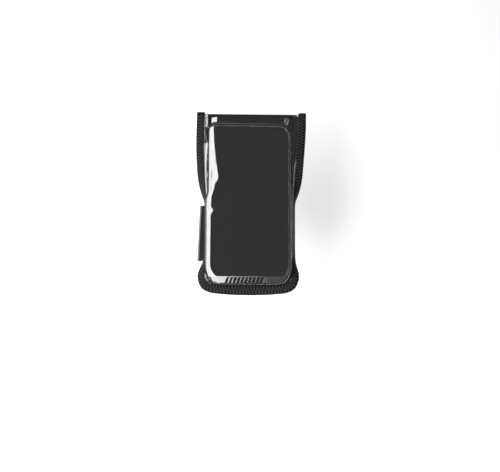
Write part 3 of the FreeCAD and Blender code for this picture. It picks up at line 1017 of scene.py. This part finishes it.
def build_loop_strip(name, body, node, place, long, wide, low, high, pitch=0.85):
    """A landing strip: a woven ground under a pile of small loops."""
    ground = build_backing(name, place, long, wide, low, high - 0.12, 0.1)
    finish_piece(ground, body, LOOP_LOOK, "loop_pile", node)
    lines = []
    for i in range(int((long - 0.8) / pitch)):
        for j in range(int((wide - 0.8) / pitch)):
            k = i * 97 + j
            a = 0.5 + pitch * (i + 0.8 * scatter(k, 2.0))
            b = 0.5 + pitch * (j + 0.8 * scatter(k, 3.0))
            turn = 2 * math.pi * scatter(k, 4.0)
            da, db = 0.35 * math.cos(turn), 0.35 * math.sin(turn)
            lines.append([
                place.at(a, b, high - 0.2), place.at(a + da * 0.3, b + db * 0.3, high),
                place.at(a + da, b + db, high), place.at(a + da * 1.3, b + db * 1.3, high - 0.2)])
    finish_piece(threads(name + "_loops", lines, 0.07, 3), body, LOOP_LOOK, "loop_pile")


X, Y, Z = Vector((1, 0, 0)), Vector((0, 1, 0)), Vector((0, 0, 1))


def build_mouth_strips():
    over = Patch((-30.0, 103.9, 0.0), X, Y, Z)
    build_loop_strip("mouth_loops", "pouch", "mouth_loop_strip", over, 60.0, 4.8, 24.1, 25.0)
    under = Patch((-30.0, 103.9, 0.0), X, Y, -Z)
    build_hook_strip("mouth_hooks", "mouth_lip", "mouth_hook_strip", under, 60.0, 4.8, -25.95, -25.25)


# ---------------------------------------------------------------- straps

def arc(centre, radius, start, end, steps):
    """Points round a centre, by angle in degrees from the first axis."""
    points = []
    for k in range(steps + 1):
        a = math.radians(mix(start, end, k / steps))
        points.append((centre[0] + radius * math.cos(a), centre[1] + radius * math.sin(a)))
    return points


def run(start, end, steps):
    """Points on the straight line between two points, without its ends."""
    return [(mix(start[0], end[0], k / steps), mix(start[1], end[1], k / steps))
            for k in range(1, steps)]


def band(name, line, across, half_width, thick):
    """A woven strap along a line of points, with soft selvedges."""
    across = Vector(across)
    path = [Vector(p) for p in line]
    last = len(path) - 1
    selvedge = [(0.0, 0.25), (0.25, 0.7), (0.7, 0.96), (1.4, 1.0)]
    places = [(-half_width + inset, full) for inset, full in selvedge]
    inner = half_width - 1.4
    places += [(mix(-inner, inner, k / 8), 1.0) for k in range(1, 8)]
    places += [(half_width - inset, full) for inset, full in reversed(selvedge)]
    rings = []
    length = 0.0
    for i, point in enumerate(path):
        before, after = path[max(i - 1, 0)], path[min(i + 1, last)]
        ahead = (after - before).normalized()
        up = ahead.cross(across).normalized()
        length += (point - before).length
        drift = 0.10 * wander(length * 2.0, half_width, 6.0)
        upper = [point + across * (w + drift) + up * (thick / 2 * full) for w, full in places]
        under = [point + across * (w + drift) - up * (thick / 2 * full) for w, full in reversed(places)]
        rings.append(upper + under)
    return lofted(name, rings)


# Straps that lie flat under the pouch have their middle at UNDER_TOP. The stem strap leans by
# STRAP_LEAN at both sides of the stem, and its tail leaves the stem TAIL_RISE up that slope.
UNDER_TOP = 19.7
FOLD_RADIUS = 1.1
STRAP_THICK = 1.5
STRAP_OFFSET = 17.8
STRAP_LEAN = 35.6
STRAP_HALF = 26.9
WING_OFFSET = 14.4
WING_THICK = 1.4
TAIL_RISE = 23.0

# The tail reaches TIP_REACH to the left. Its free end is then skewed, to end at TIP_FOOT on
# the foot side and TIP_HEAD on the mouth side, and drifts by TIP_DRIFT towards the foot.
TIP_REACH = 49.9
TIP_FOOT = 49.3
TIP_HEAD = 47.2
TIP_DRIFT = 2.4
TIP_Z = 12.4


def beside(offset, rise, hand):
    """(x, z) on the strap's straight run: offset from the stem's axis, rise along the run."""
    a = math.radians(STRAP_LEAN)
    out = Vector((math.cos(a), -math.sin(a)))
    up = Vector((math.sin(a), math.cos(a)))
    point = out * offset + up * rise
    return (point.x * hand, point.y)


def fold_line(offset, hand, flat_from, low_rise):
    """A strap that lies flat under the pouch, folds over and runs down towards the stem."""
    a = math.radians(STRAP_LEAN)
    centre_z = UNDER_TOP - FOLD_RADIUS
    centre_x = (offset - FOLD_RADIUS + centre_z * math.sin(a)) / math.cos(a)
    centre = (centre_x, centre_z)
    rise = centre_x * math.sin(a) + centre_z * math.cos(a)
    points = [(flat_from, UNDER_TOP)] + run((flat_from, UNDER_TOP), (centre_x, UNDER_TOP), 12)
    points += arc(centre, FOLD_RADIUS, 90.0, -STRAP_LEAN, 10)
    end = beside(offset, low_rise, 1)
    points += run(beside(offset, rise, 1), end, 26) + [end]
    return [(x * hand, z) for x, z in points]


def in_stem_plane(points):
    """Points (x, z) of the strap's outline as (x, y, z) in the plane across the stem."""
    return [(x, 0.0, z) for x, z in points]


def box_stitch(place, long, wide):
    """A sewn rectangle with its two diagonals."""
    corners = [(0, 0), (long, 0), (long, wide), (0, wide), (0, 0), (long, wide)]
    pairs = list(zip(corners, corners[1:])) + [((long, 0), (0, wide))]
    lines = []
    for (a0, b0), (a1, b1) in pairs:
        length = math.hypot(a1 - a0, b1 - b0)

        def point_at(d, h):
            t = d / length
            return place.at(mix(a0, a1, t), mix(b0, b1, t), h)

        lines += dashes(point_at, 0.2, length, 2.6, 1.8)
    return lines


def build_stem_belly():
    """The stem strap's first part, from its sewn end on the right to under the stem."""
    right = fold_line(STRAP_OFFSET, 1, 17.0, 0.0)
    around = arc((0, 0), STRAP_OFFSET, -STRAP_LEAN, -90.0, 18)[1:]
    belly = band("stem_strap_right", in_stem_plane(right + around), Y, STRAP_HALF, STRAP_THICK)
    finish_bridge(belly, WEBBING_LOOK, "webbing", ["stem_strap_anchor", "stem_strap_belly"],
                  "pouch", "stem_strap", (34.0, 0, 18.85), (34.0, 0, 17.2))


def build_stem_tail():
    """The stem strap's second part, up the stem's left side and out to its free end."""
    onward = arc((0, 0), STRAP_OFFSET, -90.0, STRAP_LEAN - 180.0, 18)
    bottom, leave, past = (beside(STRAP_OFFSET, rise, -1) for rise in (0, TAIL_RISE, TAIL_RISE + 2.6))
    flare = spline([leave, past, (-32.4, 12.0), (-37.5, 12.9), (-44.0, 12.8), (-TIP_REACH, TIP_Z)], 5)
    line = onward + run(bottom, leave, 20) + flare
    tail = band("stem_strap_left", in_stem_plane(line), Y, STRAP_HALF, STRAP_THICK)
    for vertex in tail.data.vertices:
        share_y = (vertex.co.y / MM + STRAP_HALF) / (2.0 * STRAP_HALF)
        share = smooth(vertex.co.x / MM, -30.0, -TIP_REACH)
        vertex.co.x += (TIP_REACH - mix(TIP_FOOT, TIP_HEAD, share_y)) * MM * share
        vertex.co.y -= TIP_DRIFT * MM * share
    bend = [beside(STRAP_OFFSET, rise, -1) for rise in (-1.5, 1.6)]
    finish_bridge(tail, WEBBING_LOOK, "webbing", ["stem_strap_tail"], "stem_strap", "stem_tail",
                  *in_stem_plane(bend))


def build_stem_wing():
    """The short strap on the left that the tail closes over, and the boxes sewn at both sides."""
    line = fold_line(WING_OFFSET, -1, 18.0, 12.2)
    wing = band("stem_wing_strap", in_stem_plane(line), Y, STRAP_HALF, WING_THICK)
    finish_piece(wing, "pouch", WEBBING_LOOK, "webbing", "stem_wing")
    half_wide = 24.5
    stitches = []
    for side in (-1, 1):
        place = Patch((side * 19.5, -half_wide, UNDER_TOP - 0.78), X * side, Y, -Z)
        stitches += box_stitch(place, 10.0, 2 * half_wide)
    sew("stem_anchor_stitches", stitches, 0.25, "pouch", "webbing")


def build_stem_closing():
    """Loops on the wing's outer face, and hooks on the tail's inner face."""
    a = math.radians(STRAP_LEAN)
    out = Vector((-math.cos(a), 0, -math.sin(a)))
    up = Vector((-math.sin(a), 0, math.cos(a)))
    wide = 53.0
    foot = Vector((0, -wide / 2, 0))
    place = Patch(foot + up * 13.2, up, Y, out)
    build_loop_strip("stem_wing_loops", "pouch", "stem_wing_loop", place, 16.6, wide, 15.05, 16.1, 1.0)
    place = Patch(foot + up * 14.0, up, Y, -out)
    build_hook_strip("stem_hooks", "stem_tail", "stem_strap_hook", place, 11.0, wide, -17.1, -16.35)


def build_strap_tip():
    """The stem strap's sealed free end, painted pale grey as a highlight where light catches its edge."""
    section = round_section(1.9, STRAP_THICK + 0.35, 0.6)
    steps = 72
    rings = []
    for k in range(steps + 1):
        y = mix(-STRAP_HALF, STRAP_HALF, k / steps)
        x = mix(-TIP_FOOT, -TIP_HEAD, k / steps) + 0.12 * wander(y * 3.0, 0.0, 8.0)
        rings.append([(x + dx, y - TIP_DRIFT, TIP_Z + 0.02 + dz) for dx, dz in section])
    finish_piece(lofted("stem_strap_tip", rings), "stem_tail", TIP_HIGHLIGHT_LOOK, "webbing")


# A handlebar strap is sewn on at BAR_SEWN_Y, goes round the bar at BAND_OFFSET from its axis
# and ends at BAR_TAIL_END, with its tail flat at the height BAR_TAIL_Z.
BAR_Y = 45.0
BAR_RADIUS = 15.9
BAND_THICK = 1.3
BAND_OFFSET = 16.6
BAND_HALF = 6.95
BAR_SEWN_Y = 34.0
BAR_TAIL_END = 87.9
BAR_TAIL_Z = 18.3


def build_bar_strap(side, x):
    """A strap from under the pouch round the handlebar, with its tail back under the pouch."""
    back, front = BAR_Y - BAND_OFFSET, BAR_Y + BAND_OFFSET
    fold, turn = back + FOLD_RADIUS, front + FOLD_RADIUS
    fold_z, turn_z = UNDER_TOP - FOLD_RADIUS, BAR_TAIL_Z - FOLD_RADIUS
    line = [(BAR_SEWN_Y, UNDER_TOP)] + run((BAR_SEWN_Y, UNDER_TOP), (fold, UNDER_TOP), 5)
    line += arc((fold, fold_z), FOLD_RADIUS, 90.0, 180.0, 8)
    line += run((back, fold_z), (back, 0.0), 14)
    line += arc((BAR_Y, 0.0), BAND_OFFSET, 180.0, 360.0, 56)
    line += run((front, 0.0), (front, turn_z), 14)
    line += arc((turn, turn_z), FOLD_RADIUS, 180.0, 90.0, 8)
    line += run((turn, BAR_TAIL_Z), (BAR_TAIL_END, BAR_TAIL_Z), 20) + [(BAR_TAIL_END, BAR_TAIL_Z)]
    path = [(x, y, z) for y, z in line]
    strap = band(f"bar_strap_{side}", path, X, BAND_HALF, BAND_THICK)
    tail_body = f"bar_tail_{side}"
    finish_bridge(strap, WEBBING_LOOK, "webbing", [f"bar_band_{side}", f"bar_tail_{side}"],
                  "pouch", tail_body, (x, BAR_Y - 1.8, -17), (x, BAR_Y + 1.8, -17))
    wide = 13.6
    place = Patch((x - wide / 2, 63.2, 0), Y, X, -Z)
    build_loop_strip(f"bar_loops_{side}", "pouch", f"bar_loop_{side}", place,
                     25.2, wide, -20.6, -19.9, 1.0)
    place = Patch((x - wide / 2, 64.0, 0), Y, X, Z)
    build_hook_strip(f"bar_hooks_{side}", tail_body, f"bar_hook_{side}", place,
                     22.5, wide, 18.85, 19.6)
    low = BAR_TAIL_Z - BAND_THICK / 2
    stitches = dashes(lambda d, h: (d, 86.3, low - h), x - 6.0, x + 6.0, 2.4, 1.6)
    stitches += box_stitch(Patch((x - 5.6, 64.2, low), Y, X, -Z), 16.0, 11.2)
    sew(f"bar_tail_stitches_{side}", stitches, 0.22, tail_body, "webbing")


# ---------------------------------------------------------------- rubber pads

PAD_TOP = 20.55


def build_pad(name, body, node, centre, along, across, half_long, half_wide, radius, foot):
    """A moulded pad with a ribbed hollow that sits on a round tube and ends at height foot."""
    rib = 2.4
    rows, columns = 60, 46

    def spot(i, j):
        """Distances along and across from the centre, and how far the rim is rounded there."""
        a = mix(-half_long, half_long, i / rows)
        b = mix(-half_wide, half_wide, j / columns)
        edge = min(half_long - abs(a), half_wide - abs(b))
        return a, b, 0.6 * (1.0 - smooth(edge, 0.0, 0.9)) ** 2

    def upper(i, j):
        a, b, rounding = spot(i, j)
        return Vector(centre) + along * a + across * b + Z * (PAD_TOP - rounding)

    def under(i, j):
        a, b, rounding = spot(i, j)
        hollow = math.sqrt(max(radius ** 2 - b * b, 0.0))
        turn = math.asin(clamp(b / radius, -1.0, 1.0)) * radius
        groove = 0.5 * smooth(math.cos(2 * math.pi * turn / rib), -0.3, -0.9)
        groove *= smooth(half_long - abs(a), 1.0, 1.6) * smooth(hollow, foot, foot + 1.0)
        height = max(hollow, foot) + groove + rounding * 0.6
        return Vector(centre) + along * a + across * b + Z * height

    pad = slab(name, grid(rows, columns, upper), grid(rows, columns, under))
    finish_piece(pad, body, RUBBER_LOOK, "grip_rubber", node)


# ---------------------------------------------------------------- printed marks on the window

def build_print():
    """A row of plain slanted bars printed on the window's foot slope."""
    first, last, pitch, wide, slant = -22.0, 14.5, 3.6, 2.4, 1.8
    near, far = -45.6, -50.8
    rows, columns = 6, 3
    for number in range(int((last - first) / pitch)):
        begin = first + number * pitch

        def raised(lift):
            def point(i, j):
                t = i / rows
                x, y = begin - slant * t + wide * j / columns, mix(near, far, t)
                return (x, y, sheet_height(x, y) + lift)

            return grid(rows, columns, point)

        mark = slab(f"window_mark_{number}", raised(0.12), raised(0.015))
        finish_piece(mark, "pouch", PRINT_LOOK, "clear_film")


build_window()
build_lip()
build_shell()
build_tape()
build_tape_stitches()
build_mouth_hem()
build_window_hem()
build_mouth_strips()
build_print()
build_stem_belly()
build_stem_tail()
build_stem_wing()
build_stem_closing()
build_strap_tip()
for side, x in (("left", -31.0), ("right", 31.0)):
    build_bar_strap(side, x)
    build_pad(f"bar_grip_{side}", "pouch", f"bar_pad_{side}", (x, BAR_Y, 0), X, Y,
              6.9, 10.9, BAR_RADIUS, 11.8)
build_pad("stem_grip", "pouch", "stem_pad", (0, 0, 0), Y, X, 26.9, 13.9, 17.0, 12.1)

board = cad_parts["back_board"]
board.data.materials.clear()
board.data.materials.append(BOARD_LOOK)


# ---------------------------------------------------------------- floor, lights and camera

def add_floor():
    """A floor far enough down that the opened straps hang clear of it."""
    size, low = 460.0, -84.0
    corners = [(-size, -size, low), (size, -size, low), (size, size, low), (-size, size, low)]
    floor = make_object("floor", corners, [(0, 1, 2, 3)])
    r = Recipe("pale_floor", 0.85, (0.9, 0.9, 0.9))
    r.colours(r.noise(3.0, 2.0), [(0.3, (0.89, 0.89, 0.89)), (0.7, (0.91, 0.91, 0.91))])
    floor.data.materials.append(r.material)


def add_light(name, place, aim, wide, tall, radiance):
    """A soft box of wide by tall metres with the given brightness."""
    data = bpy.data.lights.new(name, "AREA")
    data.shape = "RECTANGLE"
    data.size, data.size_y = wide, tall
    data.energy = radiance * wide * tall * math.pi
    light = bpy.data.objects.new(name, data)
    light.location = place
    light.rotation_euler = (Vector(aim) - Vector(place)).to_track_quat("-Z", "Y").to_euler()
    bpy.context.scene.collection.objects.link(light)


def add_camera():
    """Looks down on the pouch from almost straight above."""
    tilt = (Matrix.Rotation(math.radians(-6.28), 3, "X") @ Matrix.Rotation(math.radians(2.05), 3, "Y")
            @ Matrix.Rotation(math.radians(-0.18), 3, "Z")).transposed()
    data = bpy.data.cameras.new("camera")
    data.sensor_width = 36.0
    data.lens = 55.8
    data.clip_start = 0.05
    camera = bpy.data.objects.new("camera", data)
    aim = Vector((0.0, 27.0, 24.0))
    place = aim + tilt @ Vector((-0.11, -32.65, 739.0))
    camera.matrix_world = Matrix.Translation(place * MM) @ tilt.to_4x4()
    bpy.context.scene.collection.objects.link(camera)
    bpy.context.scene.camera = camera


def add_world():
    """A dim even light from all round, which looks pale where it is seen as the backdrop."""
    glow, backdrop = 0.13, 0.76
    world = bpy.data.worlds.new("studio")
    world.use_nodes = True
    tree = world.node_tree
    background = tree.nodes["Background"]
    background.inputs["Color"].default_value = (1.0, 1.0, 1.0, 1.0)
    seen = tree.nodes.new("ShaderNodeLightPath").outputs["Is Camera Ray"]
    strength = tree.nodes.new("ShaderNodeMath")
    strength.operation = "MULTIPLY_ADD"
    strength.inputs[1].default_value = backdrop - glow
    strength.inputs[2].default_value = glow
    tree.links.new(seen, strength.inputs[0])
    tree.links.new(strength.outputs[0], background.inputs["Strength"])
    bpy.context.scene.world = world


add_floor()
add_world()
add_light("left_box", (-0.52, 0.0, 0.42), (0.0, 0.02, 0.02), 1.1, 0.82, 5.4)
add_light("right_strip", (0.62, 0.03, 0.78), (0.0, 0.03, 0.02), 0.9, 0.07, 2.8)
add_light("right_fill", (0.65, 0.0, 0.35), (0.0, 0.03, 0.02), 1.0, 0.6, 0.25)
add_light("head_strip", (0.05, 0.62, 0.95), (0.0, 0.08, 0.02), 1.0, 0.1, 2.8)
add_light("foot_box", (-0.265, -0.56, 0.34), (-0.265, 0.0, 0.02), 0.52, 0.7, 4.5)
add_light("foot_middle", (0.02, -0.56, 0.34), (0.02, 0.0, 0.02), 0.05, 0.7, 0.9)
add_light("foot_fill", (0.35, -0.56, 0.34), (0.35, 0.0, 0.02), 0.6, 0.7, 0.2)
add_camera()
bpy.context.scene.view_settings.view_transform = "Standard"
